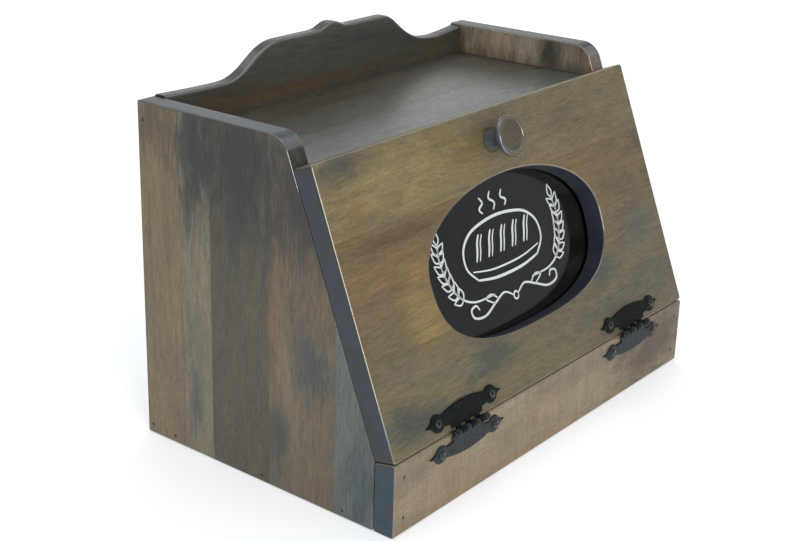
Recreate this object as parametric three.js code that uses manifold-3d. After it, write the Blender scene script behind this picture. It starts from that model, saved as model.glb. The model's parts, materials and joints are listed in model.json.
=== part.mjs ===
// Bread box with a slanted drop-front door. Millimetres, +Z up, front towards -Y, right-hand side +X.
// The box stands on Z = 0 with the middle of its bounding box over the origin.
// The boards are laid out from a case frame: x = 0 is the middle, y = 0 is the front edge of the sides.

import * as THREE from "three";
import { mergeVertices } from "three/addons/utils/BufferGeometryUtils.js";
import Module from "manifold-3d";

const wasm = await Module();
wasm.setup();

// ---- Driving dimensions: case ----
const boxWidth = 432;
const boardThickness = 19;
const thinBoard = 12.7;
const sideDepth = 245;
const sideHeight = 288.6;
const kneeHeight = 58;
const slant = THREE.MathUtils.degToRad(21.4);
const sideCornerRadius = 20;
const shelfTop = 261;
const dadoDepth = 6;
const edgeRound = 1.5;
const cornerRound = 2.5;
const hiddenEdgeRound = 0.5;
const hiddenCornerRound = 0.9;
const railBackCorner = 2;
const sideBackCorner = 1.7;
const jointGap = 0.3;
const seamGap = 0.8;

// ---- Driving dimensions: back board crest, heights from the ground, widths from the crest's middle ----
const crestHeight = 313.8;
const crestPeak = 319.1;
const crestOffset = 6.5;
const crestLeft = {
  shoulder: 68, shoulderPull: 33, foot: 138, footPull: 33, footHeight: 288.1, cove: 24, endHeight: 291,
};
const crestRight = {
  shoulder: 71, shoulderPull: 20, foot: 151, footPull: 52, footHeight: 283.3, cove: 12, endHeight: 289.2,
};
const peakHalfWidth = 24;
const crestSteps = 12;
const peakInnerPull = 10;
const crestRound = 2.5;
const crestTrimAllowance = 20;

// ---- Driving dimensions: door ----
const doorLength = 223.4;
const windowCentre = 107.4;
const windowHalfWidth = 123;
const windowRise = 61;
const windowDrop = 64;
const windowTopFullness = 2.05;
const windowBottomFullness = 2.7;
const windowSteps = 72;
const doorRound = 2;
const paneMargin = 12;
const paneThickness = 3;
const paneCorner = 4;
const paneRound = 0.4;

// ---- Driving dimensions: knob ----
const knobOffset = -4.3;
const knobUp = 197;
const knobProfile = [
  [10.5, 0], [10.5, 0.8], [10.1, 2.6], [9.7, 5.4], [9.6, 8.8], [10.4, 11.9], [13.1, 14.4], [16.1, 16.5],
  [17.2, 18.3], [17.3, 19.9], [16.7, 21.3], [15.7, 21.9], [14.7, 21.6], [13.4, 20.9], [9, 20.4],
];
const knobBoreDepth = 11.5;
const knobScrewRadius = 2.1;
const knobScrewHeadRadius = 4.2;
const knobScrewHeadDepth = 2.6;
const knobScrewReach = 10.5;
const knobScrewSlot = { halfLength: 5, halfWidth: 0.5, depth: 1 };
const knobScrewTip = { radius: 0.5, length: 2 };
const knobScrewRim = [0.1, 0.4];

// ---- Driving dimensions: hinges ----
const hingeSpread = 125.5;
const hingeAxisHeight = 3.9;
const leafThickness = 1.6;
const leafInnerEdge = 4.4;
const strapHalfWidth = 19.2;
const strapInnerEdge = 0.4;
const strapOverlap = 1;
const leafScrewSpan = 35;
const leafScrewUp = 13.2;
const barrelLength = 43;
const knuckleCount = 7;
const barrelRadius = 3;
const pinRadius = 1.2;
const pinHeadRadius = 2.2;
const pinHeadLength = 1.2;
const pinHeadBevel = 0.5;

// ---- Driving dimensions: small fasteners ----
const hingeScrew = {
  shank: 1.4, head: 3.5, rise: 2.1, length: 13, tip: 3, slot: 3.8, slotWidth: 0.9, slotDepth: 1.1,
};
const clipScrew = {
  shank: 1.3, head: 3, rise: 1.7, length: 11, tip: 3, slot: 3.2, slotWidth: 0.8, slotDepth: 0.9,
};
const screwDome = [[0.45, 1], [0.82, 0.75], [1, 0.3], [1, 0]];
const screwPoint = 0.25;
const brad = { shank: 0.8, head: 1.2, headLength: 0.8, length: 32, sunk: 0.7, tip: 1.5, point: 0.2 };
const bradFromSideEdge = 11.5;
const railBradHeights = [14, 48];
const backBradHeights = [8.4, 274];
const floorBradsFromBack = [33, 132, 215];
const clipWidth = 12;
const clipThickness = 1.5;
const clipOverlap = 5;
const clipFootLength = 12.5;
const clipFootStart = 0.5;
const clipStep = 2;
const clipCorner = 0.3;
const clipScrewUp = 8;
const clipSpread = 92;
const cutterReach = 2;
const roundSides = 16;
const smallSides = 12;
const bradSides = 8;
const knobSides = 28;

// ---- How finely edges and corners are divided ----
const boardArcSegments = 3;
const boardBevelSegments = 2;
const sideArcSegments = 5;
const hiddenArcSegments = 2;
const paneBevelSegments = 1;
const clipArcSegments = 1;
const weldDistance = 1e-4;
const coordinates = 3;

// ---- Worked out from the driving dimensions ----
const halfWidth = boxWidth / 2;
const insideHalf = halfWidth - boardThickness;
const halfSlant = slant / 2;
const kneeBack = { y: -jointGap, z: kneeHeight + jointGap * Math.tan(halfSlant) };
const seamHalf = seamGap / 2 / Math.cos(halfSlant);
const railFront = -jointGap - boardThickness;
const seamCorner = { y: railFront, z: kneeBack.z + boardThickness * Math.tan(halfSlant) };
const hingeAxis = {
  y: seamCorner.y - hingeAxisHeight,
  z: seamCorner.z + hingeAxisHeight * Math.tan(halfSlant),
};
const hingeAxisDrop = (boardThickness + hingeAxisHeight) * Math.tan(halfSlant);
const slantY = (z) => (z - kneeHeight) * Math.tan(slant);
const backFront = sideDepth - thinBoard;
const frameShift = -(sideDepth + hingeAxis.y - barrelRadius) / 2;
const clipSeat = clipThickness + 2 * jointGap;
const mitreReach = 3 * boardThickness;
const hingeCentres = { left: -hingeSpread, right: hingeSpread };
const paneTop = windowCentre + windowRise + paneMargin;
const paneBottom = windowCentre - windowDrop - paneMargin;

// ---- Materials ----
const wood = (color, roughness) => new THREE.MeshStandardMaterial({ color, roughness, metalness: 0 });
const metal = (color, roughness) => new THREE.MeshStandardMaterial({ color, roughness, metalness: 1 });
const sideWood = wood(0x665f52, 0.5);
const doorWood = wood(0x7a6d57, 0.5);
const railWood = wood(0x857a69, 0.5);
const shelfWood = wood(0x5a554b, 0.35);
const backWood = wood(0x4b453c, 0.45);
const knobWood = wood(0x5b574a, 0.3);
const blackIron = metal(0x24282b, 0.55);
const steel = metal(0x8f9396, 0.35);
const darkGlass = new THREE.MeshStandardMaterial({ color: 0x15191a, roughness: 0.06, metalness: 0 });
const clipPlastic = new THREE.MeshStandardMaterial({ color: 0xb9bcb8, roughness: 0.4, metalness: 0 });

// ---- Solids: booleans on closed geometries ----
function toSolid(geometry) {
  const bare = geometry.clone();
  bare.deleteAttribute("normal");
  bare.deleteAttribute("uv");
  const merged = mergeVertices(bare, weldDistance);
  return new wasm.Manifold(new wasm.Mesh({
    numProp: coordinates,
    vertProperties: new Float32Array(merged.attributes.position.array),
    triVerts: new Uint32Array(merged.index.array),
  }));
}

function toGeometry(solid) {
  const mesh = solid.getMesh();
  const geometry = new THREE.BufferGeometry();
  geometry.setAttribute("position", new THREE.BufferAttribute(mesh.vertProperties, coordinates));
  geometry.setIndex(new THREE.BufferAttribute(mesh.triVerts, 1));
  return geometry;
}

function cut(geometry, tools) {
  return toGeometry(tools.reduce((solid, tool) => solid.subtract(toSolid(tool)), toSolid(geometry)));
}

function join(geometries) {
  const [first, ...rest] = geometries.map(toSolid);
  return toGeometry(rest.reduce((solid, next) => solid.add(next), first));
}

function trim(geometry, keep) {
  return toGeometry(toSolid(geometry).intersect(toSolid(keep)));
}

// ---- Shapes and geometry helpers ----
function outline(points, radii) {
  const shape = new THREE.Shape();
  points.forEach((point, index) => {
    const radius = Array.isArray(radii) ? radii[index] : radii;
    const before = points[(index + points.length - 1) % points.length];
    const after = points[(index + 1) % points.length];
    const corner = new THREE.Vector2(...point);
    const toBefore = new THREE.Vector2(...before).sub(corner).normalize();
    const toAfter = new THREE.Vector2(...after).sub(corner).normalize();
    const halfAngle = Math.acos(toBefore.dot(toAfter)) / 2;
    const setback = radius / Math.tan(halfAngle);
    const middle = toBefore.clone().add(toAfter).setLength(radius / Math.sin(halfAngle)).add(corner);
    const start = corner.clone().addScaledVector(toBefore, setback).sub(middle);
    const end = corner.clone().addScaledVector(toAfter, setback).sub(middle);
    const clockwise = toBefore.cross(toAfter) > 0;
    shape.absarc(middle.x, middle.y, radius, start.angle(), end.angle(), clockwise);
  });
  shape.closePath();
  return shape;
}

function board(
  shape, thickness, round, curveSegments = boardArcSegments, bevelSegments = boardBevelSegments,
) {
  const geometry = new THREE.ExtrudeGeometry(shape, {
    depth: thickness - 2 * round,
    bevelEnabled: round > 0,
    bevelThickness: round,
    bevelSize: round,
    bevelOffset: -round,
    bevelSegments,
    curveSegments,
  });
  return geometry.translate(0, 0, round);
}

// An outline in (y, z), swept from x = 0 towards +X.
function alongX(geometry) {
  const basis = new THREE.Matrix4().makeBasis(
    new THREE.Vector3(0, 1, 0), new THREE.Vector3(0, 0, 1), new THREE.Vector3(1, 0, 0),
  );
  return geometry.applyMatrix4(basis);
}

// An outline in (x, z), swept from y = 0 towards the front.
function towardsFront(geometry) {
  return geometry.rotateX(Math.PI / 2);
}

function block(low, high) {
  const size = high.map((value, axis) => value - low[axis]);
  const middle = high.map((value, axis) => (value + low[axis]) / 2);
  return new THREE.BoxGeometry(...size).translate(...middle);
}

// A turned solid around Z from [radius, height] pairs; the ends are closed on the axis.
function turned(profile, sides) {
  const closed = [[0, profile[0][1]], ...profile, [0, profile[profile.length - 1][1]]];
  const points = closed.map(([radius, height]) => new THREE.Vector2(radius, height));
  return new THREE.LatheGeometry(points, sides).rotateX(Math.PI / 2);
}

// Turns a solid that was made along +Z so that it runs along a direction from a point.
function aim(geometry, direction, position) {
  const turn = new THREE.Quaternion().setFromUnitVectors(new THREE.Vector3(0, 0, 1), direction);
  return geometry.applyQuaternion(turn).translate(...position);
}

function part(name, geometry, material) {
  const shaded = geometry.index ? geometry.toNonIndexed() : geometry;
  shaded.computeVertexNormals();
  const mesh = new THREE.Mesh(shaded, material);
  mesh.name = name;
  return mesh;
}

const inward = { left: new THREE.Vector3(1, 0, 0), right: new THREE.Vector3(-1, 0, 0) };
const toBack = new THREE.Vector3(0, 1, 0);
const toFront = new THREE.Vector3(0, -1, 0);
const outerX = { left: -halfWidth, right: halfWidth };
const sides = ["left", "right"];

// ---- Brads: headed nails driven below the surface, each in its own drilled path ----
function bradBody() {
  const { shank, head, headLength, length, sunk, tip, point } = brad;
  const neck = sunk + headLength;
  const profile = [
    [head, sunk], [head, neck], [shank, neck + point], [shank, length - tip], [point, length],
  ];
  return turned(profile, bradSides);
}

function bradPath() {
  const { shank, head, headLength, length, sunk, point } = brad;
  const mouth = head + jointGap;
  const narrow = shank + jointGap;
  const shoulder = sunk + headLength + jointGap;
  const profile = [
    [mouth, -cutterReach], [mouth, shoulder], [narrow, shoulder + point], [narrow, length + jointGap],
  ];
  return turned(profile, bradSides);
}

function bradPlaces() {
  const places = [];
  for (const side of sides) {
    const x = outerX[side];
    railBradHeights.forEach((z, index) => places.push({
      name: `rail_brad_${side}_${index + 1}`,
      position: [x + inward[side].x * bradFromSideEdge, railFront, z],
      direction: toBack,
      boards: ["front_rail", `side_panel_${side}`],
    }));
    backBradHeights.forEach((z, index) => places.push({
      name: `back_brad_${side}_${index + 1}`,
      position: [x, sideDepth - thinBoard / 2, z],
      direction: inward[side],
      boards: [`side_panel_${side}`, "back_panel"],
    }));
    floorBradsFromBack.forEach((fromBack, index) => places.push({
      name: `floor_brad_${side}_${index + 1}`,
      position: [x, sideDepth - fromBack, thinBoard / 2],
      direction: inward[side],
      boards: [`side_panel_${side}`, "bottom_board"],
    }));
  }
  return places;
}

const brads = bradPlaces();

function bradPathsIn(boardName) {
  const here = brads.filter((place) => place.boards.includes(boardName));
  return here.map((place) => aim(bradPath(), place.direction, place.position));
}

// ---- Screws: domed head with a cross slot, head side towards -Z, shank towards +Z ----
function screwBody(screw) {
  const { shank, head, rise, length, tip, slot, slotWidth, slotDepth } = screw;
  const dome = screwDome.map(([across, up]) => [head * across, -rise * up]);
  const stem = [[shank, 0], [shank, length - tip], [screwPoint, length]];
  const body = turned([...dome, ...stem], smallSides);
  const low = -rise - cutterReach;
  const high = -rise + slotDepth;
  const across = block([-slot / 2, -slotWidth / 2, low], [slot / 2, slotWidth / 2, high]);
  const upright = block([-slotWidth / 2, -slot / 2, low], [slotWidth / 2, slot / 2, high]);
  return cut(body, [across, upright]);
}

// The pilot hole starts in front of the board and is a gap wider than the shank.
function screwHole(screw) {
  const radius = screw.shank + jointGap;
  return turned([[radius, -cutterReach], [radius, screw.length + jointGap]], smallSides);
}

// ---- Case boards ----
function sidePanel(side) {
  const points = [
    [0, 0], [sideDepth, 0], [sideDepth, sideHeight], [slantY(sideHeight), sideHeight], [0, kneeHeight],
  ];
  const radii = [cornerRound, sideBackCorner, sideBackCorner, sideCornerRadius, cornerRound];
  const panel = alongX(board(outline(points, radii), boardThickness, edgeRound, sideArcSegments));
  const x = side === "left" ? -halfWidth : insideHalf;
  panel.translate(x, 0, 0);
  const dadoFloor = insideHalf + dadoDepth;
  const mouth = insideHalf - cutterReach;
  const span = side === "left" ? [-dadoFloor, -mouth] : [mouth, dadoFloor];
  const dado = block(
    [span[0], -boardThickness, shelfTop - boardThickness - jointGap],
    [span[1], backFront, shelfTop + jointGap],
  );
  return cut(panel, [dado, ...bradPathsIn(`side_panel_${side}`)]);
}

// A board across the case with barely rounded edges, from an outline in (y, z).
function hiddenBoard(points, half) {
  const shape = outline(points, hiddenCornerRound);
  return alongX(board(shape, 2 * half, hiddenEdgeRound, hiddenArcSegments)).translate(-half, 0, 0);
}

function bottomBoard() {
  const back = backFront - jointGap;
  const panel = hiddenBoard([[0, 0], [back, 0], [back, thinBoard], [0, thinBoard]], insideHalf - jointGap);
  return cut(panel, bradPathsIn("bottom_board"));
}

function topShelf() {
  const low = shelfTop - boardThickness;
  const back = backFront - jointGap;
  const points = [[slantY(low), low], [back, low], [back, shelfTop], [slantY(shelfTop), shelfTop]];
  return hiddenBoard(points, insideHalf + dadoDepth - jointGap);
}

// Half of the crest as points from the peak outwards, in widths from the peak.
function crestHalf(half, reach) {
  const path = new THREE.Path();
  path.moveTo(0, crestPeak);
  path.bezierCurveTo(peakInnerPull, crestPeak, peakHalfWidth / 2, crestHeight, peakHalfWidth, crestHeight);
  path.lineTo(half.shoulder, crestHeight);
  path.bezierCurveTo(
    half.shoulder + half.shoulderPull, crestHeight, half.foot - half.footPull, half.footHeight,
    half.foot, half.footHeight,
  );
  path.quadraticCurveTo(half.foot + half.cove, half.footHeight, reach, half.endHeight);
  return path.getPoints(crestSteps);
}

// The back board's front view, drawn past its ends and its foot, which are trimmed square afterwards.
function crestOutline() {
  const end = insideHalf + crestTrimAllowance;
  const right = crestHalf(crestRight, end - crestOffset).map(({ x, y }) => [crestOffset + x, y]);
  const left = crestHalf(crestLeft, end + crestOffset).map(({ x, y }) => [crestOffset - x, y]);
  const foot = [[-end, -crestTrimAllowance], [end, -crestTrimAllowance]];
  const points = [...foot, ...right.reverse(), ...left.slice(1)];
  return new THREE.Shape(points.map(([x, z]) => new THREE.Vector2(x, z)));
}

function backPanel() {
  const panel = towardsFront(board(crestOutline(), thinBoard, crestRound)).translate(0, sideDepth, 0);
  const width = insideHalf - jointGap;
  const trimmed = trim(panel, block([-width, 0, 0], [width, 2 * sideDepth, 2 * sideHeight]));
  return cut(trimmed, bradPathsIn("back_panel"));
}

function frontRail() {
  const points = [
    [kneeBack.y, 0], [kneeBack.y, kneeBack.z - seamHalf],
    [railFront, seamCorner.z - seamHalf], [railFront, 0],
  ];
  const radii = [railBackCorner, railBackCorner, cornerRound, cornerRound];
  const rail = alongX(board(outline(points, radii), boxWidth, edgeRound));
  rail.translate(-halfWidth, 0, 0);
  return cut(rail, [...bradPathsIn("front_rail"), ...railScrewHoles()]);
}

// ---- Hinge leaf in its own frame: x along the barrel, z away from the barrel, -Y off the board ----
const leafUnderside = hingeAxisHeight - jointGap;
const leafFace = leafUnderside - leafThickness;

function leafOutline() {
  const shape = new THREE.Shape();
  const half = [
    ["line", 19.6, leafInnerEdge],
    ["line", 19.6, 6.2],
    ["curve", 19.6, 7.6, 21.4, 7.9],
    ["line", 28.4, 8.6],
    ["curve", 30.6, 6.2, 34.6, 6.1],
    ["curve", 39.2, 6.4, 41.4, 10.4],
    ["curve", 44.6, 12.4, 49, 13.2],
    ["curve", 44.6, 14.2, 41.6, 16.6],
    ["curve", 39, 20.6, 34.8, 20.6],
    ["curve", 31, 20.4, 28.4, 18],
    ["curve", 14.5, 21.6, 0, 21.7],
  ];
  shape.moveTo(0, leafInnerEdge);
  for (const [kind, ...values] of half) {
    if (kind === "line") {
      shape.lineTo(...values);
    } else {
      shape.quadraticCurveTo(...values);
    }
  }
  const ends = [[0, leafInnerEdge], ...half.map((step) => step.slice(-2))];
  for (let index = half.length - 1; index >= 0; index -= 1) {
    const [kind, ...values] = half[index];
    const [endX, endZ] = ends[index];
    if (kind === "line") {
      shape.lineTo(-endX, endZ);
    } else {
      shape.quadraticCurveTo(-values[0], values[1], -endX, endZ);
    }
  }
  return shape;
}

function hingeLeaf(firstKnuckle) {
  const plate = towardsFront(board(leafOutline(), leafThickness, 0)).translate(0, leafUnderside, 0);
  const pitch = barrelLength / knuckleCount;
  const solids = [plate];
  for (let index = firstKnuckle; index < knuckleCount; index += 2) {
    const low = -barrelLength / 2 + index * pitch + jointGap / 2;
    const high = low + pitch - jointGap;
    const ring = turned([[barrelRadius, low], [barrelRadius, high]], roundSides).rotateY(Math.PI / 2);
    const inner = Math.max(low, -strapHalfWidth);
    const outer = Math.min(high, strapHalfWidth);
    const strap = block(
      [inner, leafFace, strapInnerEdge],
      [outer, leafUnderside, leafInnerEdge + strapOverlap],
    );
    solids.push(ring, strap);
  }
  const boreRadius = pinRadius + jointGap;
  const bore = turned([[boreRadius, -barrelLength], [boreRadius, barrelLength]], smallSides);
  bore.rotateY(Math.PI / 2);
  const holes = [-leafScrewSpan, leafScrewSpan].map((x) => (
    aim(screwHole(hingeScrew), toBack, [x, leafFace, leafScrewUp])
  ));
  return cut(join(solids), [bore, ...holes]);
}

function hingePin() {
  const end = barrelLength / 2 + jointGap;
  const top = end + pinHeadLength;
  const half = [
    [pinRadius, end], [pinHeadRadius, end],
    [pinHeadRadius, top - pinHeadBevel], [pinHeadRadius - pinHeadBevel, top],
  ];
  const mirrored = half.map(([radius, along]) => [radius, -along]).reverse();
  const profile = [...mirrored, ...half];
  return turned(profile, smallSides).rotateY(Math.PI / 2);
}

// Screw places on a leaf, in the leaf's frame; the head stands a gap off the leaf's face.
function leafScrewPlaces() {
  return [-leafScrewSpan, leafScrewSpan].map((x) => [x, leafFace - jointGap, leafScrewUp]);
}

// A leaf's frame at its hinge: on the rail it is turned upside down around the barrel's middle.
function railLeafGroup(side) {
  const group = new THREE.Group();
  group.position.set(hingeCentres[side], hingeAxis.y, hingeAxis.z);
  group.rotation.y = Math.PI;
  group.updateMatrix();
  return group;
}

function railScrewHoles() {
  return sides.flatMap((side) => leafScrewPlaces().map((place) => (
    aim(screwHole(hingeScrew), toBack, place).applyMatrix4(railLeafGroup(side).matrix)
  )));
}

// ---- Door, in its own frame: y = 0 is the back face, z runs up the slope from the inner knee ----
// Where a door leaf's frame sits in the door's frame.
function doorLeafPlace(side) {
  return [hingeCentres[side], -boardThickness - hingeAxisHeight, -hingeAxisDrop];
}

function windowPath() {
  const signedPower = (value, power) => Math.sign(value) * Math.abs(value) ** power;
  const points = [];
  for (let index = 0; index < windowSteps; index += 1) {
    const angle = (index / windowSteps) * 2 * Math.PI;
    const up = Math.sin(angle) >= 0;
    const power = 2 / (up ? windowTopFullness : windowBottomFullness);
    const height = up ? windowRise : windowDrop;
    const x = windowHalfWidth * signedPower(Math.cos(angle), power);
    const z = windowCentre + height * signedPower(Math.sin(angle), power);
    points.push(new THREE.Vector2(x, z));
  }
  return new THREE.Path(points);
}

// The wedge that gives the door's lower edge its mitre, so that it meets the rail evenly.
function doorMitre() {
  const wedge = block([-boxWidth, -mitreReach, -mitreReach], [boxWidth, mitreReach, 0]);
  return wedge.rotateX(halfSlant).translate(0, 0, seamHalf);
}

// Through the door, with a countersink in its back face.
function knobScrewHole() {
  const narrow = knobScrewRadius + jointGap;
  const wide = knobScrewHeadRadius + jointGap;
  const profile = [
    [narrow, -boardThickness - cutterReach], [narrow, -knobScrewHeadDepth - jointGap],
    [wide, 0], [wide, cutterReach],
  ];
  return turned(profile, roundSides).rotateX(-Math.PI / 2).translate(knobOffset, 0, knobUp);
}

function doorHingeHoles() {
  return sides.flatMap((side) => leafScrewPlaces().map((place) => (
    aim(screwHole(hingeScrew), toBack, place).translate(...doorLeafPlace(side))
  )));
}

function doorPanel() {
  const foot = -boardThickness;
  const corners = [
    [-halfWidth, foot], [halfWidth, foot], [halfWidth, doorLength], [-halfWidth, doorLength],
  ];
  const shape = outline(corners, cornerRound);
  shape.holes.push(windowPath());
  const panel = towardsFront(board(shape, boardThickness, doorRound));
  const clipHoles = clipPlaces().map((place) => (
    aim(screwHole(clipScrew), toFront, [place.x, clipSeat, place.screwZ])
  ));
  return cut(panel, [doorMitre(), knobScrewHole(), ...doorHingeHoles(), ...clipHoles]);
}

function pane() {
  const x = windowHalfWidth + paneMargin;
  const corners = [[-x, paneBottom], [x, paneBottom], [x, paneTop], [-x, paneTop]];
  const sheet = board(
    outline(corners, paneCorner), paneThickness, paneRound, boardArcSegments, paneBevelSegments,
  );
  return towardsFront(sheet).translate(0, paneThickness + jointGap, 0);
}

function clipPlaces() {
  const places = [];
  for (const x of [-clipSpread, clipSpread]) {
    places.push({ x, edge: paneTop, way: 1, screwZ: paneTop + clipScrewUp });
    places.push({ x, edge: paneBottom, way: -1, screwZ: paneBottom - clipScrewUp });
  }
  return places;
}

// A stepped clip: its foot lies on the door, its tongue holds the pane's edge.
function glassClip(place) {
  const { x, edge, way, screwZ } = place;
  const foot = jointGap;
  const tongue = paneThickness + 2 * jointGap;
  const footFace = foot + clipThickness;
  const tongueFace = tongue + clipThickness;
  const steps = [
    [foot, clipFootStart], [foot, clipFootLength], [footFace, clipFootLength], [footFace, clipStep],
    [tongueFace, clipStep], [tongueFace, -clipOverlap], [tongue, -clipOverlap], [tongue, clipFootStart],
  ];
  const points = steps.map(([y, up]) => [y, edge + way * up]);
  const ordered = way > 0 ? points.reverse() : points;
  const clip = alongX(board(outline(ordered, clipCorner), clipWidth, 0, clipArcSegments));
  clip.translate(x - clipWidth / 2, 0, 0);
  return cut(clip, [aim(screwHole(clipScrew), toFront, [x, clipSeat, screwZ])]);
}

function doorKnob() {
  const knob = turned(knobProfile, knobSides);
  const radius = knobScrewRadius + jointGap;
  return cut(knob, [turned([[radius, -cutterReach], [radius, knobBoreDepth]], roundSides)]);
}

// Flat-headed screw through the door from the back, its head flush in a countersink.
function knobScrew() {
  const end = boardThickness + jointGap + knobScrewReach;
  const { halfLength, halfWidth: slotHalf, depth } = knobScrewSlot;
  const profile = [
    ...knobScrewRim.map((depthIn) => [knobScrewHeadRadius, depthIn]), [knobScrewRadius, knobScrewHeadDepth],
    [knobScrewRadius, end - knobScrewTip.length], [knobScrewTip.radius, end],
  ];
  const slot = block([-halfLength, -slotHalf, -depth], [halfLength, slotHalf, depth]);
  return cut(turned(profile, roundSides), [slot]);
}

// ---- Assembly ----
const breadBox = new THREE.Group();
breadBox.name = "bread_box";
const boxCase = new THREE.Group();
boxCase.position.y = frameShift;
breadBox.add(boxCase);

for (const side of sides) {
  boxCase.add(part(`side_panel_${side}`, sidePanel(side), sideWood));
}
boxCase.add(part("bottom_board", bottomBoard(), shelfWood));
boxCase.add(part("top_shelf", topShelf(), shelfWood));
boxCase.add(part("back_panel", backPanel(), backWood));
boxCase.add(part("front_rail", frontRail(), railWood));
for (const place of brads) {
  boxCase.add(part(place.name, aim(bradBody(), place.direction, place.position), steel));
}

const door = new THREE.Group();
door.position.set(0, kneeBack.y, kneeBack.z);
door.rotation.x = -slant;
boxCase.add(door);
door.add(part("door_panel", doorPanel(), doorWood));
door.add(part("window_pane", pane(), darkGlass));

clipPlaces().forEach((place, index) => {
  door.add(part(`pane_clip_${index + 1}`, glassClip(place), clipPlastic));
  const screw = aim(screwBody(clipScrew), toFront, [place.x, clipSeat, place.screwZ]);
  door.add(part(`pane_clip_screw_${index + 1}`, screw, steel));
});

const knob = part("door_knob", doorKnob(), knobWood);
knob.position.set(knobOffset, -boardThickness - jointGap, knobUp);
knob.rotation.x = Math.PI / 2;
door.add(knob);
const holdingScrew = part("knob_screw", knobScrew(), steel);
holdingScrew.position.set(knobOffset, 0, knobUp);
holdingScrew.rotation.x = Math.PI / 2;
door.add(holdingScrew);

for (const side of sides) {
  const railLeaf = railLeafGroup(side);
  const doorLeaf = new THREE.Group();
  doorLeaf.position.set(...doorLeafPlace(side));
  railLeaf.add(part(`hinge_${side}_rail_leaf`, hingeLeaf(0), blackIron));
  doorLeaf.add(part(`hinge_${side}_door_leaf`, hingeLeaf(1), blackIron));
  leafScrewPlaces().forEach((place, index) => {
    const screw = () => aim(screwBody(hingeScrew), toBack, place);
    railLeaf.add(part(`hinge_${side}_rail_screw_${index + 1}`, screw(), blackIron));
    doorLeaf.add(part(`hinge_${side}_door_screw_${index + 1}`, screw(), blackIron));
  });
  const pin = part(`hinge_${side}_pin`, hingePin(), blackIron);
  pin.position.copy(railLeaf.position);
  boxCase.add(railLeaf, pin);
  door.add(doorLeaf);
}

export default breadBox;
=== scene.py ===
"""Looks of the bread box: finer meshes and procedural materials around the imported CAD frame."""

import json
import math

import bpy
from mathutils import Matrix, Vector, noise
from mathutils.geometry import delaunay_2d_cdt


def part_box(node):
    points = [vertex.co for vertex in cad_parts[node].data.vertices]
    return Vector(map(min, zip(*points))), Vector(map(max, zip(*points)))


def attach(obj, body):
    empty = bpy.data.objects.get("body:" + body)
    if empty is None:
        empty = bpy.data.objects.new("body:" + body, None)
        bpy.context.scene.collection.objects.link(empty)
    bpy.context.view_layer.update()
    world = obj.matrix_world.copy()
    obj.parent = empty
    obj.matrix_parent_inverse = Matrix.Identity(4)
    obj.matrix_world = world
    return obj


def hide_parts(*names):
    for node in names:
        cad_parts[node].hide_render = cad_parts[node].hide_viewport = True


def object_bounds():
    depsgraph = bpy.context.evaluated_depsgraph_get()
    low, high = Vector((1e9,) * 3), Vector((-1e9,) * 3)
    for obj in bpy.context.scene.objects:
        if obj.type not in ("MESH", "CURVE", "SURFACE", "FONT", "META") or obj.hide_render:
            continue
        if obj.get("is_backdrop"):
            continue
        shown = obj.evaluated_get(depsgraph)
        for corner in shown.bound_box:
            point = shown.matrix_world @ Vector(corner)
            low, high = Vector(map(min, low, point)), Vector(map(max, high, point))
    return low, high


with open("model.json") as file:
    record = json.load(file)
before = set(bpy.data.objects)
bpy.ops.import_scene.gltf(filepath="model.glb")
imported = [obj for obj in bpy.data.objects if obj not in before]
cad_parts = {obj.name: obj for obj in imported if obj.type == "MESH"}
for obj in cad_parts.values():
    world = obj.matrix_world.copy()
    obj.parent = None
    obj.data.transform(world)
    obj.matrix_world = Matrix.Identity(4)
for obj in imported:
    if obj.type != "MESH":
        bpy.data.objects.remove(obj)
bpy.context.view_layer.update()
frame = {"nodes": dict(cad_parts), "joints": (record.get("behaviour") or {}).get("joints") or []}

# ---- Dimensions of the CAD model, in millimetres, with two corner rounds that are a little finer here ----
MM = 0.001
HALF_WIDTH = 216.0
BOARD = 19.0
THIN_BOARD = 12.7
SIDE_DEPTH = 245.0
SIDE_HEIGHT = 288.6
KNEE = 58.0
SLANT = math.radians(21.4)
SIDE_CORNER = 20.0
SHELF_TOP = 261.0
DADO = 6.0
GAP = 0.3
SEAM_HALF = 0.4 / math.cos(SLANT / 2)
EDGE_ROUND = 1.5
CORNER_ROUND = 2.5
BACK_CORNER = 1.6
RAIL_BACK_CORNER = 1.8
CREST_ROUND = 2.5
DOOR_LENGTH = 223.4
DOOR_ROUND = 2.0
WINDOW = {"centre": 107.4, "half": 123.0, "rise": 61.0, "drop": 64.0, "top": 2.05, "bottom": 2.7}
KNOB_X, KNOB_UP = -4.3, 197.0
HINGE_X = {"left": -125.5, "right": 125.5}
HINGE_LIFT = 3.9
BARREL_LENGTH = 43.0
KNUCKLES = 7
LEAF_SCREWS = (-35.0, 35.0)
LEAF_SCREW_UP = 13.2
BRAD_FROM_SIDE = 11.5
RAIL_BRADS = (14.0, 48.0)
BACK_BRADS = (8.4, 274.0)
FLOOR_BRADS = (33.0, 132.0, 215.0)

# ---- How the meshes are made ----
SHARP_ANGLE = 35.0
LEAF_SHARP_ANGLE = 50.0
FLAT_FACE_WEIGHT = 100
CUT_REACH = 20.0

# ---- Frames: local millimetres to the row's millimetres ----
CASE_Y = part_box("side_panel_left")[0].y / MM
CASE = Matrix.Translation((0, CASE_Y, 0))
KNEE_BACK = Vector((0, -GAP, KNEE + GAP * math.tan(SLANT / 2)))
DOOR = CASE @ Matrix.Translation(KNEE_BACK) @ Matrix.Rotation(-SLANT, 4, "X")


def basis(first, second, third):
    """A turn that sends the local axes a, b and c to these directions."""
    return Matrix((first, second, third)).transposed().to_4x4()


ALONG_X = basis((0, 1, 0), (0, 0, 1), (1, 0, 0))
TO_FRONT = basis((1, 0, 0), (0, 0, 1), (0, -1, 0))


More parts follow.
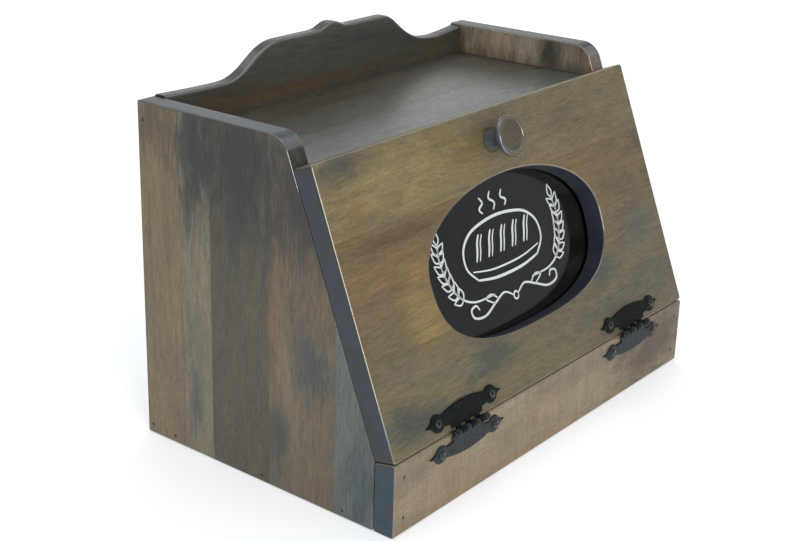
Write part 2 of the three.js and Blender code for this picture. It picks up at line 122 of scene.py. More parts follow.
# ---- Meshes ----
def linear(red, green, blue):
    """A colour given in 0-255 display values, as the linear colour that a shader takes."""
    return tuple(
        value / 12.92 if value <= 0.04045 else ((value + 0.055) / 1.055) ** 2.4
        for value in (red / 255, green / 255, blue / 255)
    )


def make_piece(name, parts, place, body, material, replaces=(), sharp=SHARP_ANGLE):
    """One mesh object from (vertices, faces) parts in local millimetres, riding on a body."""
    mesh = bpy.data.meshes.new(name)
    vertices, faces = [], []
    for part_vertices, part_faces in parts:
        start = len(vertices)
        vertices.extend(place @ Vector(point) * MM for point in part_vertices)
        faces.extend([index + start for index in face] for face in part_faces)
    mesh.from_pydata(vertices, [], faces)
    mesh.validate()
    mesh.shade_smooth()
    mesh.set_sharp_from_angle(angle=math.radians(sharp))
    mesh.materials.append(material)
    piece = bpy.data.objects.new(name, mesh)
    bpy.context.scene.collection.objects.link(piece)
    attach(piece, body)
    if replaces:
        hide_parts(*replaces)
    return piece


def even_normals(piece):
    """Large flat faces keep their own normal, so that the rounded edges shade cleanly."""
    modifier = piece.modifiers.new("normals", "WEIGHTED_NORMAL")
    modifier.keep_sharp = True
    modifier.weight = FLAT_FACE_WEIGHT


def cut_piece(piece, cutters, place, operation="DIFFERENCE"):
    """Cuts (vertices, faces) solids out of a piece and keeps the result as its mesh."""
    for vertices, faces in cutters:
        mesh = bpy.data.meshes.new("cutter")
        mesh.from_pydata([place @ Vector(point) * MM for point in vertices], [], faces)
        cutter = bpy.data.objects.new("cutter", mesh)
        bpy.context.scene.collection.objects.link(cutter)
        modifier = piece.modifiers.new("cut", "BOOLEAN")
        modifier.operation = operation
        modifier.solver = "EXACT"
        modifier.object = cutter
        graph = bpy.context.evaluated_depsgraph_get()
        result = bpy.data.meshes.new_from_object(piece.evaluated_get(graph))
        piece.modifiers.clear()
        old = piece.data
        piece.data = result
        result.name = old.name
        bpy.data.meshes.remove(old)
        bpy.data.objects.remove(cutter)
        bpy.data.meshes.remove(mesh)
    piece.data.shade_smooth()
    piece.data.set_sharp_from_angle(angle=math.radians(SHARP_ANGLE))


def inset(points, amount):
    """A closed loop with each point moved to its left."""
    moved = []
    for index, point in enumerate(points):
        before = (point - points[index - 1]).normalized()
        after = (points[(index + 1) % len(points)] - point).normalized()
        left_before = Vector((-before.y, before.x))
        left_after = Vector((-after.y, after.x))
        normal = (left_before + left_after).normalized()
        moved.append(point + normal * (amount / max(normal.dot(left_after), 0.5)))
    return moved


def slab(outline, thickness, radius, steps=5, holes=()):
    """A plate with rounded edges, from c = 0 up: an anticlockwise outline and clockwise holes, in (a, b)."""
    profile = []
    for index in range(steps + 1):
        angle = math.pi / 2 * index / steps
        profile.append((radius * (1 - math.sin(angle)), radius * (1 - math.cos(angle))))
    profile += [(amount, thickness - height) for amount, height in reversed(profile)]
    vertices, faces, tops, bottoms = [], [], [], []
    for loop in [outline, *holes]:
        count = len(loop)
        start = len(vertices)
        for amount, height in profile:
            vertices.extend((point.x, point.y, height) for point in inset(loop, amount))
        for ring in range(len(profile) - 1):
            low = start + ring * count
            for index in range(count):
                after = (index + 1) % count
                faces.append([low + index, low + after, low + count + after, low + count + index])
        bottoms.append(list(range(start, start + count)))
        tops.append(list(range(start + (len(profile) - 1) * count, start + len(profile) * count)))
    if holes:
        faces += fill(vertices, tops)
        faces += [face[::-1] for face in fill(vertices, bottoms)]
    else:
        faces.append(tops[0])
        faces.append(bottoms[0][::-1])
    return vertices, faces


def inside_loop(point, loop):
    """Whether a point lies inside a closed loop."""
    hit = False
    for index, end_point in enumerate(loop):
        start_point = loop[index - 1]
        if (start_point.y > point.y) != (end_point.y > point.y):
            t = (point.y - start_point.y) / (end_point.y - start_point.y)
            if point.x < start_point.x + t * (end_point.x - start_point.x):
                hit = not hit
    return hit


def fill(vertices, loops):
    """Triangles between an outer loop and its holes, all in one plane across c."""
    order = [index for loop in loops for index in loop]
    points = [Vector(vertices[index][:2]) for index in order]
    edges, start = [], 0
    for loop in loops:
        count = len(loop)
        edges += [(start + index, start + (index + 1) % count) for index in range(count)]
        start += count
    found = delaunay_2d_cdt(points, edges, [], 1, 1e-6)
    holes = [[Vector(vertices[index][:2]) for index in loop] for loop in loops[1:]]
    kept_faces = []
    for face in found[2]:
        middle = sum((found[0][index] for index in face), Vector((0.0, 0.0))) / len(face)
        if not any(inside_loop(middle, hole) for hole in holes):
            kept_faces.append([order[found[3][index][0]] for index in face])
    return kept_faces


def rounded(points, radii, steps=8):
    """An outline with each corner turned into an arc."""
    outline = []
    for index, point in enumerate(points):
        radius = radii[index] if isinstance(radii, (list, tuple)) else radii
        corner = Vector(point)
        to_before = (Vector(points[index - 1]) - corner).normalized()
        to_after = (Vector(points[(index + 1) % len(points)]) - corner).normalized()
        half = to_before.angle(to_after) / 2
        middle = corner + (to_before + to_after).normalized() * (radius / math.sin(half))
        start = corner + to_before * (radius / math.tan(half)) - middle
        turn = math.pi - 2 * half
        if to_before.cross(to_after) > 0:
            turn = -turn
        for step in range(steps + 1):
            angle = turn * step / steps
            cosine, sine = math.cos(angle), math.sin(angle)
            turned_x = start.x * cosine - start.y * sine
            turned_y = start.x * sine + start.y * cosine
            outline.append(middle + Vector((turned_x, turned_y)))
    return outline


def box(low, high):
    """A plain block, used only as a cutter."""
    corners = [(x, y, z) for x in (low[0], high[0]) for y in (low[1], high[1]) for z in (low[2], high[2])]
    faces = [[0, 1, 3, 2], [4, 6, 7, 5], [0, 4, 5, 1], [2, 3, 7, 6], [0, 2, 6, 4], [1, 5, 7, 3]]
    return corners, faces


def two_sides(points, halves):
    """The left and the right side of a path, at a half width for each of its points."""
    left, right = [], []
    last = len(points) - 1
    for index, (point, half) in enumerate(zip(points, halves)):
        along = (points[min(index + 1, last)] - points[max(index - 1, 0)]).normalized()
        normal = Vector((-along.y, along.x)) * half
        left.append(point + normal)
        right.append(point - normal)
    return left, right


def wall_faces(count):
    """The wall between a ring of points and the ring that follows it."""
    faces = []
    for index in range(count):
        after = (index + 1) % count
        faces.append([index, after, count + after, count + index])
    return faces


def turned(profile, sides):
    """A solid of revolution about c from (radius, height) pairs, closed by a point at each end."""
    heights = (profile[0][1], profile[-1][1])
    vertices = [(0, 0, heights[0])]
    for radius, height in profile:
        for side in range(sides):
            angle = 2 * math.pi * side / sides
            vertices.append((radius * math.cos(angle), radius * math.sin(angle), height))
    vertices.append((0, 0, heights[1]))
    faces = []
    last = len(vertices) - 1
    for side in range(sides):
        after = (side + 1) % sides
        faces.append([0, 1 + after, 1 + side])
        for ring in range(len(profile) - 1):
            low = 1 + ring * sides
            faces.append([low + side, low + after, low + sides + after, low + sides + side])
        low = 1 + (len(profile) - 1) * sides
        faces.append([low + side, low + after, last])
    return vertices, faces


def moved(part, matrix):
    vertices, faces = part
    return [tuple(matrix @ Vector(point)) for point in vertices], faces


def smooth_curve(points, steps):
    """A Catmull-Rom curve through the points."""
    ends = [points[0], *points, points[-1]]
    curve = []
    for index in range(len(points) - 1):
        a, b, c, d = (Vector(point) for point in ends[index : index + 4])
        for step in range(steps):
            t = step / steps
            point = 2 * b + (c - a) * t
            point += (2 * a - 5 * b + 4 * c - d) * t**2
            point += (3 * b - a - 3 * c + d) * t**3
            curve.append(0.5 * point)
    curve.append(Vector(points[-1]))
    return curve


# ---- Shaders ----
class Shader:
    """Builds one Principled material, node by node."""

    def __init__(self, name, **constants):
        self.material = bpy.data.materials.new(name)
        self.material.use_nodes = True
        self.tree = self.material.node_tree
        self.tree.nodes.clear()
        self.surface = self.add("ShaderNodeBsdfPrincipled")
        output = self.add("ShaderNodeOutputMaterial")
        self.tree.links.new(self.surface.outputs[0], output.inputs["Surface"])
        for socket, value in constants.items():
            self.surface.inputs[socket.replace("_", " ")].default_value = value

    def add(self, kind, settings=None, inputs=None):
        node = self.tree.nodes.new(kind)
        for key, value in (settings or {}).items():
            setattr(node, key, value)
        for key, value in (inputs or {}).items():
            self.feed(node.inputs[key], value)
        return node

    def feed(self, socket, value):
        if isinstance(value, bpy.types.NodeSocket):
            self.tree.links.new(value, socket)
        else:
            socket.default_value = value

    def set(self, socket, value):
        self.feed(self.surface.inputs[socket], value)

    def math(self, operation, first, second=0.0, clamp=False):
        node = self.add("ShaderNodeMath", {"operation": operation, "use_clamp": clamp}, {0: first, 1: second})
        return node.outputs[0]

    def vector(self, operation, first, second=(0, 0, 0), output="Vector"):
        node = self.add("ShaderNodeVectorMath", {"operation": operation}, {0: first, 1: second})
        return node.outputs[output]

    def scaled(self, vector, scale):
        """The vector divided by a size along each axis."""
        return self.vector("DIVIDE", vector, scale)

    def noise(self, vector, detail=2.0, roughness=0.5, distortion=0.0, output="Fac"):
        inputs = {"Vector": vector, "Scale": 1.0, "Detail": detail, "Roughness": roughness}
        inputs["Distortion"] = distortion
        return self.add("ShaderNodeTexNoise", {}, inputs).outputs[output]

    def millimetres(self):
        """The place on the object in millimetres."""
        return self.vector("MULTIPLY", self.add("ShaderNodeTexCoord").outputs["Object"], (1 / MM,) * 3)

    def speckle(self, size, detail=3.0, roughness=0.6):
        """Noise with specks of this size in millimetres, alike in all directions."""
        return self.noise(self.scaled(self.millimetres(), (size,) * 3), detail, roughness)

    def tones(self, value, dark, light):
        """The base colour, between two colours given in display values."""
        self.set("Base Color", self.mix(value, linear(*dark), linear(*light)))

    def roughness(self, value, low, high):
        self.set("Roughness", self.step(value, 0.3, 0.7, low, high))

    def split(self, vector):
        """The three parts of a vector or colour."""
        return self.add("ShaderNodeSeparateXYZ", {}, {0: vector}).outputs

    def swing(self, value, gain):
        """A noise value about zero instead of a half, times a gain."""
        return self.math("MULTIPLY", self.math("SUBTRACT", value, 0.5), gain)

    def step(self, value, low, high, to_low=0.0, to_high=1.0):
        """A smooth step from low to high."""
        inputs = {"Value": value, "From Min": low, "From Max": high, "To Min": to_low, "To Max": to_high}
        return self.add("ShaderNodeMapRange", {"interpolation_type": "SMOOTHSTEP"}, inputs).outputs[0]

    def mix(self, factor, first, second, blend="MIX"):
        node = self.add("ShaderNodeMix", {"data_type": "RGBA", "blend_type": blend})
        for index, value in ((0, factor), (6, first), (7, second)):
            if isinstance(value, tuple):
                value = (*value[:3], 1.0)
            self.feed(node.inputs[index], value)
        return node.outputs[2]

    def ramp_node(self, value, stops, interpolation="LINEAR"):
        node = self.add("ShaderNodeValToRGB", {}, {"Fac": value})
        ramp = node.color_ramp
        ramp.interpolation = interpolation
        if len(stops) == 1:
            ramp.elements.remove(ramp.elements[1])
        while len(ramp.elements) < len(stops):
            ramp.elements.new(1.0)
        for element, (position, colour) in zip(ramp.elements, stops):
            element.position = position
            element.color = colour if len(colour) == 4 else (*colour, 1.0)
        return node

    def ramp(self, value, stops, interpolation="LINEAR"):
        return self.ramp_node(value, stops, interpolation).outputs["Color"]

    def bump(self, height, strength, distance):
        inputs = {"Strength": strength, "Distance": distance * MM, "Height": height}
        self.set("Normal", self.add("ShaderNodeBump", {}, inputs).outputs[0])


SHEEN = 0.04
STAIN_GAIN = 0.95
DARKEST = 0.004


def stain(red, green, blue):
    """The stain that shows as this display colour in the studio, less the white sheen of the lacquer."""
    return tuple(max(DARKEST, value - SHEEN) * STAIN_GAIN for value in linear(red, green, blue))


SLATE = stain(66, 74, 80)
END_GRAIN = (64, 71, 77)
LACQUER_IOR = 2.1
PLANK_SHIFT = (900.0, 700.0, 500.0)

# Size of each feature of the wood in millimetres: along the grain, across it and through the board
SWAY, CLOUD, FIBRE = (150, 60, 60), (72, 30, 30), (15, 0.95, 1.0)
SOFT_BAND, GRIT, EDGE = (90, 5, 6), (1.5, 1.1, 1.1), (24, 9, 9)
CURL_WAVE, PIT = (3.6, 34, 30), (8, 0.7, 0.7)
SWAY_REACH = (0, 20, 20)
RAGGED, TORN, KNOT_RAGGED = 1.9, 0.6, 1.6
PATCH_EDGE = (1.5, 0.2)
FLAME_BEND, FLAME_SWAY, FLAME_PITCH = 0.11, 9.0, 5.5
SEAM_REACH, SEAM_SHADE = 0.45, 0.68
WALL_REACH = (1.4, 1.35)
ROUNDED_EDGE = (0.92, 0.8)
EDGE_GLOSS = 0.13

# Tints that multiply a colour
WARM, COOL, FLAME_TINT, KNOT_TINT = (1.1, 1.0, 0.86), (0.9, 1.0, 1.0), (0.55,) * 3, (0.32, 0.28, 0.26)


def plank_tones(shader, share, starts, planks, seed):
    """Each plank's colour, its share of slate stain, and the shift that gives it grain of its own."""
    stops = [(start, (*stain(*colour), amount)) for start, (_, colour, amount) in zip(starts, planks)]
    node = shader.ramp_node(share, stops, "CONSTANT")
    shifts = []
    for index, start in enumerate(starts):
        phase = seed * 7.1 + index * 2.9
        shifts.append((start, tuple(0.5 + 0.5 * math.sin(phase + axis * 1.7) for axis in range(3))))
    shift = shader.ramp_node(share, shifts, "CONSTANT").outputs["Color"]
    return node.outputs["Color"], node.outputs["Alpha"], shader.vector("MULTIPLY", shift, PLANK_SHIFT)


def tinted(shader, factor, colour, tint):
    return shader.mix(factor, colour, shader.mix(1.0, colour, tint, "MULTIPLY"))


def shaded(shader, colour, value, stops):
    """The colour multiplied by a grey that follows the value through (value, grey) stops."""
    grey = shader.ramp(value, [(position, (level,) * 3) for position, level in stops])
    return shader.mix(1.0, colour, grey, "MULTIPLY")


def near_ellipse(shader, local, along, over, half_along, half_over):
    """Distance from a point of the board, 1 on an ellipse around it."""
    offset = shader.vector("SUBTRACT", local, (along, over, 0))
    scaled = shader.vector("MULTIPLY", offset, (1 / half_along, 1 / half_over, 0))
    return shader.vector("LENGTH", scaled, output="Value")


class Grain:
    """The noises that a board's colour, gloss and bump are made from."""

    def __init__(self, shader, place):
        drift = shader.noise(shader.scaled(place, SWAY), 1.5, output="Color")
        sway = shader.vector("SUBTRACT", drift, (0.5,) * 3)
        bent = shader.vector("ADD", place, shader.vector("MULTIPLY", sway, SWAY_REACH))
        clouds = shader.noise(shader.scaled(place, CLOUD), 4.0, 0.62, 0.7, output="Color")
        self.cloud, self.hue, self.stained = shader.split(clouds)
        fibres = shader.noise(shader.scaled(bent, FIBRE), 3.0, 0.66, output="Color")
        self.lines, self.flecks, _ = shader.split(fibres)
        self.soft = shader.noise(shader.scaled(bent, SOFT_BAND), 2.0, 0.55)
        self.grit = shader.noise(shader.scaled(place, GRIT), 2.0, 0.7)
        self.edge = shader.noise(shader.scaled(place, EDGE), 4.0, 0.68)


def with_patches(shader, colour, local, grain, patches):
    """Ovals of another colour with ragged edges: (along, across, half sizes, colour, strength). Most are
    another stain; painted light is marked where it is listed.
    """
    rough_edge = shader.math("ADD", shader.swing(grain.edge, RAGGED), shader.swing(grain.lines, TORN))
    for along, over, half_along, half_over, tone, strength in patches:
        distance = near_ellipse(shader, local, along, over, half_along, half_over)
        mask = shader.step(shader.math("ADD", distance, rough_edge), *PATCH_EDGE, 0.0, strength)
        colour = shader.mix(mask, colour, stain(*tone))
    return colour


def with_grain(shader, colour, grain, slate_share, depth):
    """Slate stain, warm and cool clouds, then light and dark grain as strong as the depth."""
    slate_mask = shader.math("MULTIPLY", shader.step(grain.stained, 0.5, 0.68), slate_share)
    colour = shader.mix(slate_mask, colour, shader.mix(0.35, SLATE, colour))
    colour = tinted(shader, shader.step(grain.hue, 0.52, 0.68, 0.0, 0.8), colour, WARM)
    colour = tinted(shader, shader.step(grain.hue, 0.47, 0.32, 0.0, 0.6), colour, COOL)
    shades = (
        (grain.cloud, [(0.28, 0.82), (0.5, 1.0), (0.72, 1.15)]),
        (grain.soft, [(0.3, 1 - 0.14 * depth), (0.5, 1.0), (0.7, 1 + 0.12 * depth)]),
        (grain.lines, [(0.3, 1 - 0.34 * depth), (0.5, 1.0), (0.7, 1 + 0.26 * depth)]),
        (grain.grit, [(0.3, 0.78), (0.5, 1.0), (0.7, 1.22)]),
        (grain.flecks, [(0.28, 1 - 0.45 * depth), (0.38, 1.0)]),
    )
    for value, stops in shades:
        colour = shaded(shader, colour, value, stops)
    return colour


def with_flames(shader, colour, local, grain, flames):
    """Arched growth rings around (apex along, across, reach)."""
    for apex, over, reach in flames:
        along, across, _ = shader.split(local)
        aside = shader.math("SUBTRACT", across, over)
        bend = shader.math("MULTIPLY", shader.math("MULTIPLY", aside, aside), FLAME_BEND)
        arch = shader.math("ADD", shader.math("ADD", along, bend), shader.swing(grain.soft, FLAME_SWAY))
        ring = shader.step(shader.math("PINGPONG", arch, FLAME_PITCH), 2.5, 5.0)
        distance = near_ellipse(shader, local, apex, over, reach, reach * 0.45)
        near = shader.step(distance, 1.1, 0.4, 0.0, 0.35)
        colour = tinted(shader, shader.math("MULTIPLY", near, ring), colour, FLAME_TINT)
    return colour


def with_knots(shader, colour, local, grain, knots):
    """Dark knots: (along, across, size)."""
    for along, over, size in knots:
        distance = near_ellipse(shader, local, along, over, size * 1.7, size)
        distance = shader.math("ADD", distance, shader.swing(grain.lines, KNOT_RAGGED))
        colour = tinted(shader, shader.step(distance, 1.3, 0.3, 0.0, 0.8), colour, KNOT_TINT)
    return colour


def with_seams(shader, colour, share, starts, width):
    """A thin dark line at each seam between planks."""
    reach = SEAM_REACH / width
    stops = [(0.0, 1.0)]
    for start in starts:
        stops += [(start - reach, 1.0), (start, SEAM_SHADE), (start + reach, 1.0)]
    return shaded(shader, colour, share, stops)


def end_colour(shader, place, grain, end):
    """End grain: pits, dark and light blotches, and a warm tinge."""
    pits = shader.noise(shader.scaled(place, PIT), 2.0)
    tone = shaded(shader, stain(*end), pits, [(0.4, 1.05), (0.66, 0.62)])
    tone = shaded(shader, tone, grain.edge, [(0.3, 0.62), (0.5, 1.0), (0.7, 1.35)])
    return shader.mix(shader.step(grain.hue, 0.5, 0.68, 0.0, 0.35), tone, stain(78, 68, 58))


def wood(
    name, origin, turn, planks, seed, patches=(), flames=(), knots=(), curl=0.0, end=END_GRAIN, gloss=0.3,
    coat=0.13, wall=None, depth=1.0, polished_from=None,
):
    """Stained and lacquered board. Its local axes are the grain, across the planks and through the board, in
    millimetres from its origin. planks: a low edge, then (upper edge, colour, share of slate stain). wall: an
    ellipse, inside which the faces that look sideways are a window's wall."""
    shader = Shader(name, IOR=1.5, Coat_IOR=LACQUER_IOR)
    coordinates = shader.add("ShaderNodeTexCoord")
    settings = {
        "Vector": coordinates.outputs["Object"],
        "Location": tuple(Vector(origin) * MM),
        "Rotation": turn.to_euler(),
        "Scale": (MM, MM, MM),
    }
    local = shader.add("ShaderNodeMapping", {"vector_type": "TEXTURE"}, settings).outputs[0]
    along, across, _ = shader.split(local)
    low, high = planks[0], planks[-1][0]
    share = shader.math("DIVIDE", shader.math("SUBTRACT", across, low), high - low)
    starts = [0.0] + [(edge - low) / (high - low) for edge, _, _ in planks[1:-1]]
    colour, slate_share, shift = plank_tones(shader, share, starts, planks[1:], seed)
    place = shader.vector("ADD", local, shift)
    grain = Grain(shader, place)

    colour = with_patches(shader, colour, local, grain, patches)
    colour = with_grain(shader, colour, grain, slate_share, depth)
    colour = with_flames(shader, colour, local, grain, flames)
    colour = with_knots(shader, colour, local, grain, knots)
    if curl:
        waves = shader.noise(shader.scaled(place, CURL_WAVE), 3.0, 0.6, 0.6)
        colour = shaded(shader, colour, waves, [(0.32, 1 - curl), (0.5, 1.0), (0.68, 1 + curl)])
    if len(starts) > 1:
        colour = with_seams(shader, colour, share, starts[1:], high - low)

    normal = coordinates.outputs["Normal"]
    squareness = []
    for axis in ((1, 0, 0), (0, 1, 0), (0, 0, 1)):
        aligned = shader.vector("DOT_PRODUCT", normal, tuple(turn @ Vector(axis)), "Value")
        squareness.append(shader.math("ABSOLUTE", aligned))
    facing_end = shader.step(squareness[0], 0.42, 0.85)
    colour = shader.mix(facing_end, colour, end_colour(shader, place, grain, end))
    flat = shader.math("MAXIMUM", squareness[0], shader.math("MAXIMUM", squareness[1], squareness[2]))
    rounded_edge = shader.step(flat, *ROUNDED_EDGE)
    if polished_from:
        rounded_edge = shader.math("MULTIPLY", rounded_edge, shader.step(along, *polished_from))
    shiny = rounded_edge
    if wall:
        inside = shader.step(near_ellipse(shader, local, 0, *wall), *WALL_REACH)
        inside = shader.math("MULTIPLY", inside, shader.step(squareness[2], 0.8, 0.35))
        colour = shader.mix(inside, colour, stain(64, 68, 76))
        shiny = shader.math("MAXIMUM", rounded_edge, shader.math("MULTIPLY", inside, 0.5))
    shader.set("Base Color", colour)
    shader.set("Coat Weight", shader.step(shiny, 0.0, 1.0, coat, 1.0))
    shader.set("Coat Roughness", shader.step(rounded_edge, 0.0, 1.0, gloss, EDGE_GLOSS))
    shader.roughness(grain.lines, 0.62, 0.46)
    fibres = shader.math("MULTIPLY", grain.lines, 0.6)
    height = shader.math("ADD", fibres, shader.math("MULTIPLY", grain.flecks, 0.4))
    shader.bump(shader.math("ADD", height, grain.cloud), shader.step(flat, *ROUNDED_EDGE, 0.3, 0.08), 0.12)
    return shader.material


# ---- Materials ----
UP_FRONT = Vector((0, math.sin(SLANT), math.cos(SLANT)))


def turn_to(grain, over):
    """A turn whose axes are the grain, across the planks, and their cross product."""
    grain, over = Vector(grain), Vector(over)
    return Matrix((grain, over, grain.cross(over))).transposed()


side_turn = turn_to((0, 0, 1), (0, 1, 0))
flat_turn = turn_to((1, 0, 0), (0, 1, 0))
upright_turn = turn_to((1, 0, 0), (0, 0, 1))
door_turn = turn_to((1, 0, 0), UP_FRONT)


def side_wood(side, x, planks, seed, patches, flames=()):
    origin = (x, CASE_Y, 0)
    return wood(
        # The sides' end grain is lighter than END_GRAIN: slate stain with a painted sheen for the light their
        # top edges catch.
        f"{side}_side_wood", origin, side_turn, planks, seed, patches, flames, end=(80, 87, 91),
        polished_from=(246, 256),
    )


left_wood = side_wood(
    "left",
    -HALF_WIDTH,
    [
        0.0,
        (38.0, (100, 104, 101), 0.5),
        (105.0, (108, 98, 80), 0.5),
        (165.8, (88, 84, 70), 0.3),
        (199.0, (122, 115, 97), 0.3),
        (SIDE_DEPTH, (123, 108, 86), 0.15),
    ],
    1.0,
    patches=[
        (256, 182, 66, 22, (54, 58, 59), 0.95),
        (48, 186, 26, 8, (76, 80, 82), 0.8),
        (272, 222, 30, 26, (84, 74, 64), 0.6),
        (255, 135, 70, 36, (58, 58, 53), 0.92),
        (250, 66, 70, 44, (56, 58, 55), 0.9),
        (185, 104, 40, 7, (70, 72, 72), 0.7),
        (150, 98, 40, 8, (122, 98, 78), 0.85),
        (168, 66, 34, 22, (110, 94, 78), 0.6),
        (96, 88, 34, 12, (124, 112, 94), 0.85),
        (112, 62, 26, 20, (74, 78, 80), 0.85),
        (46, 95, 26, 12, (76, 78, 78), 0.85),
        (44, 62, 40, 20, (118, 106, 88), 0.7),
        (30, 12, 44, 16, (74, 82, 86), 0.8),
        (12, 130, 16, 34, (94, 90, 76), 0.5),
    ],
    flames=[(34, 118, 60), (28, 146, 50)],
)
right_wood = side_wood(
    "right",
    HALF_WIDTH,
    [
        0.0,
        (52.0, (108, 98, 82), 0.5),
        (96.0, (112, 98, 80), 0.4),
        (150.0, (92, 86, 74), 0.5),
        (204.0, (112, 99, 82), 0.4),
        (SIDE_DEPTH, (106, 93, 77), 0.3),
    ],
    4.0,
    patches=[
        # Painted light: this very light oval over the top of the inner face, above the shelf, stands in for
        # light that the corner keeps off it.
        (280, 150, 22, 90, (172, 159, 141), 0.9),
        (278, 128, 24, 13, (78, 76, 70), 0.9),
        (284, 84, 16, 30, (110, 104, 96), 0.7),
        (90, 60, 60, 20, (66, 74, 80), 0.6),
    ],
)
door_wood = wood(
    "door_wood",
    (0, CASE_Y + KNEE_BACK.y, KNEE_BACK.z),
    door_turn,
    [
        -8.0,
        (69.0, (114, 105, 82), 0.35),
        (100.0, (118, 104, 78), 0.25),
        (163.0, (124, 106, 78), 0.15),
        (DOOR_LENGTH, (128, 114, 86), 0.2),
    ],
    2.0,
    patches=[
        (-184, 213, 30, 14, (74, 78, 76), 0.85),
        (-120, 196, 70, 26, (142, 126, 92), 0.7),
        (90, 204, 120, 22, (110, 103, 86), 0.7),
        (120, 176, 80, 9, (120, 108, 88), 0.6),
        (-140, 152, 60, 8, (92, 78, 62), 0.7),
        (-160, 118, 60, 26, (120, 103, 82), 0.5),
        (-136, 88, 26, 34, (146, 126, 84), 0.85),
        (-170, 52, 60, 14, (118, 108, 92), 0.6),
        (-76, 34, 30, 12, (76, 80, 78), 0.7),
        (-156, 14, 60, 10, (84, 84, 76), 0.8),
        (-190, 22, 24, 12, (80, 82, 78), 0.7),
        # A darker slate oval just under the window's lower right rim.
        (106, 56, 24, 13, (80, 84, 84), 0.65),
        (96, 20, 60, 14, (98, 95, 84), 0.6),
        (176, 128, 44, 30, (108, 96, 80), 0.7),
        (206, 158, 14, 10, (84, 84, 82), 0.5),
        (174, 80, 50, 24, (104, 101, 90), 0.85),
        (186, 30, 60, 26, (104, 99, 86), 0.7),
    ],
    gloss=0.34,
    coat=0.1,
    wall=(WINDOW["centre"], WINDOW["half"], WINDOW["rise"]),
)
rail_wood = wood(
    "rail_wood",
    (0, CASE_Y, 0),
    upright_turn,
    [0.0, (KNEE + 4, (142, 127, 104), 0.08)],
    3.0,
    patches=[
        (-80, 4, 170, 7, (140, 116, 90), 0.6),
        (170, 34, 60, 34, (86, 76, 60), 0.92),
        (-196, 46, 26, 20, (116, 106, 92), 0.6),
        (40, 50, 80, 10, (124, 112, 94), 0.5),
    ],
    curl=0.15,
    end=(62, 78, 88),
    gloss=0.34,
    coat=0.1,
    depth=0.38,
)
back_wood = wood(
    "back_wood",
    (0, CASE_Y + SIDE_DEPTH, 0),
    upright_turn,
    [0.0, (96.0, (84, 77, 65), 0.5), (188.0, (92, 84, 70), 0.4), (325.0, (90, 88, 82), 0.4)],
    5.0,
    patches=[
        (-60, 269, 150, 7, (104, 82, 62), 0.6),
        (-130, 276, 60, 8, (94, 82, 64), 0.5),
        (150, 272, 50, 12, (96, 92, 74), 0.6),
        (30, 300, 60, 9, (76, 80, 80), 0.6),
    ],
    gloss=0.3,
)
shelf_wood = wood(
    "shelf_wood",
    (0, CASE_Y, 0),
    flat_turn,
    [0.0, (142.0, (97, 99, 93), 0.5), (SIDE_DEPTH, (93, 90, 82), 0.4)],
    6.0,
    patches=[(-120, 110, 90, 20, (96, 97, 90), 0.5), (-60, 200, 90, 12, (84, 76, 62), 0.6)],
    knots=[(-25, 221, 4), (189, 137, 5)],
    gloss=0.22,
    coat=0.2,
)
knob_wood = wood(
    "knob_wood",
    (KNOB_X, CASE_Y, KNOB_UP),
    upright_turn,
    [-400.0, (400.0, (92, 84, 68), 0.15)],
    8.0,
    # Painted light: the end-grain tone, which covers the sides of the neck, is a light blue-grey that paints
    # a softbox's reflection over the shade under the head.
    end=(90, 96, 105),
    gloss=0.16,
    coat=0.2,
)


def iron(name, dark, light, rough, shine=0.1, level=0.3):
    """Blackened iron, from pits to worn spots."""
    shader = Shader(name, IOR=1.45, Coat_Weight=shine, Coat_Roughness=0.12, Specular_IOR_Level=level)
    coarse = shader.speckle(2.6)
    grit = shader.speckle(0.6, 2.0)
    shader.tones(shader.step(coarse, 0.35, 0.7), dark, light)
    shader.roughness(grit, rough, rough + 0.2)
    height = shader.math("ADD", coarse, shader.math("MULTIPLY", grit, 0.35))
    shader.bump(height, 0.5, 0.3)
    return shader.material


def steel():
    shader = Shader("steel", Metallic=1.0)
    wear = shader.speckle(1.4)
    shader.tones(wear, (120, 122, 124), (176, 178, 180))
    shader.roughness(wear, 0.25, 0.5)
    return shader.material


def pane_glass():
    shader = Shader("pane_glass", Transmission_Weight=1.0, IOR=1.38, Roughness=0.0)
    haze = shader.noise(shader.scaled(shader.millimetres(), (60, 60, 40)), 2.0)
    shader.set("Base Color", shader.mix(haze, (0.22, 0.24, 0.24), (0.3, 0.33, 0.33)))
    return shader.material


def clip_plastic():
    shader = Shader("clip_plastic", IOR=1.47, Subsurface_Weight=0.15)
    cloud = shader.speckle(5, 2.0, 0.5)
    shader.tones(cloud, (176, 180, 178), (206, 208, 204))
    shader.roughness(cloud, 0.3, 0.42)
    return shader.material


def ornament_paint():
    shader = Shader("ornament_paint", IOR=1.45)
    rub = shader.speckle(0.9)
    shader.tones(shader.step(rub, 0.3, 0.75), (206, 210, 210), (240, 242, 242))
    shader.roughness(rub, 0.45, 0.6)
    return shader.material


# Both leaves are the same blackened iron: the rail leaf's lighter tones are painted light that its upright
# face catches, and the door leaf keeps the iron's own near-black.
ribbed_iron = iron("ribbed_iron", (6, 9, 9), (18, 22, 22), 0.42, 0.05, 0.16)
smooth_iron_painted_light = iron("smooth_iron_painted_light", (26, 33, 36), (44, 52, 55), 0.46, 0.06, 0.25)
screw_iron = iron("screw_iron", (8, 11, 13), (22, 28, 32), 0.2, 0.6, 0.3)
bright_steel = steel()
glass = pane_glass()
plastic = clip_plastic()
brad_iron = iron("brad_iron", (70, 66, 58), (104, 98, 88), 0.5)
paint = ornament_paint()

